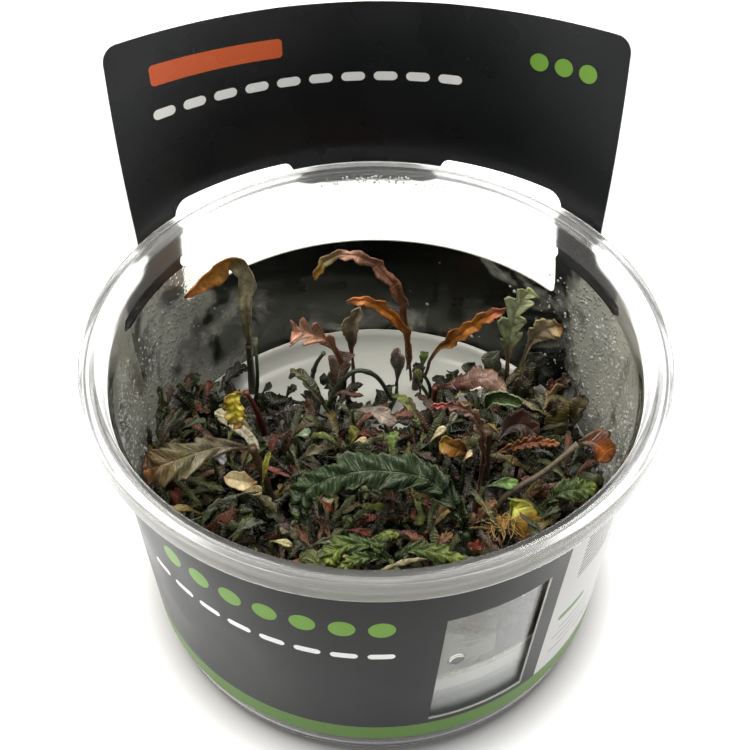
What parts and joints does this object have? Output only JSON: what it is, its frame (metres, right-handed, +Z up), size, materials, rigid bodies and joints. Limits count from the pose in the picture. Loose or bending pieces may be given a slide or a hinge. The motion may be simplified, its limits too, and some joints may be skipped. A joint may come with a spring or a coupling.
{
  "type": "aquarium plant in culture cup",
  "caption": "Clear round culture cup in a card sleeve with a tall header, holding lobed-leaved aquarium plantlets rooted in nutrient gel.",
  "frame": {"origin": "centre of the cup's flat underside", "axes": "+Z up out of the cup; the sleeve's header stands at +Y and the viewer looks from -Y"},
  "size_m": [0.101, 0.1031, 0.0967],
  "materials": {
    "clear_plastic": "gloss",
    "printed_card": "satin",
    "nutrient_gel": "gloss",
    "stem_brown": "satin",
    "plantlet_foliage": "satin",
    "leaf_grey_olive": "satin",
    "leaf_pink_brown": "satin",
    "leaf_orange": "satin",
    "leaf_pale_green": "satin",
    "leaf_olive": "satin",
    "leaf_maroon": "satin",
    "leaf_bright_green": "gloss",
    "leaf_dark_green": "gloss",
    "leaf_yellow": "satin",
    "leaf_cream": "satin"
  },
  "bodies": {
    "root": {"cup": "clear_plastic", "card_sleeve": "printed_card", "gel": "nutrient_gel", "stem_arching": "stem_brown", "stem_back": "stem_brown", "stem_bright_green": "stem_brown", "stem_broad_olive": "stem_brown", "stem_diagonal": "stem_brown", "stem_front": "stem_brown", "stem_large_green": "stem_brown", "stem_maroon": "stem_brown", "stem_middle": "stem_brown", "stem_pale_green": "stem_brown", "stem_red": "stem_brown", "stem_red_tipped": "stem_brown", "stem_right_wall": "stem_brown", "stem_salmon": "stem_brown", "stem_tall_left": "stem_brown", "stem_thin_left": "stem_brown", "leaf_arching_pink": "leaf_pink_brown", "leaf_beige": "leaf_grey_olive", "leaf_bright_green": "leaf_bright_green", "leaf_broad_olive": "leaf_olive", "leaf_cream_back": "leaf_cream", "leaf_cream_front": "leaf_cream", "leaf_curled_green": "leaf_bright_green", "leaf_dark_orange": "leaf_orange", "leaf_dark_red": "leaf_maroon", "leaf_golden": "leaf_yellow", "leaf_grey_upright": "leaf_grey_olive", "leaf_large_green": "leaf_dark_green", "leaf_lime_curled": "leaf_bright_green", "leaf_maroon": "leaf_maroon", "leaf_olive_hanging": "leaf_olive", "leaf_orange_curved": "leaf_orange", "leaf_orange_lance": "leaf_orange", "leaf_pale_green": "leaf_pale_green", "leaf_red_tipped": "leaf_pink_brown", "leaf_rust": "leaf_orange", "leaf_salmon_lobed": "leaf_pink_brown", "leaf_small_yellow": "leaf_yellow", "leaf_tall_folded": "leaf_grey_olive", "leaf_yellow": "leaf_yellow", "plantlet_01": "plantlet_foliage", "plantlet_02": "plantlet_foliage", "plantlet_03": "plantlet_foliage", "plantlet_04": "plantlet_foliage", "plantlet_05": "plantlet_foliage", "plantlet_06": "plantlet_foliage", "plantlet_07": "plantlet_foliage", "plantlet_08": "plantlet_foliage", "plantlet_09": "plantlet_foliage", "plantlet_10": "plantlet_foliage", "plantlet_11": "plantlet_foliage", "plantlet_12": "plantlet_foliage", "plantlet_13": "plantlet_foliage", "plantlet_14": "plantlet_foliage", "plantlet_15": "plantlet_foliage", "plantlet_16": "plantlet_foliage"}
  },
  "joints": []
}
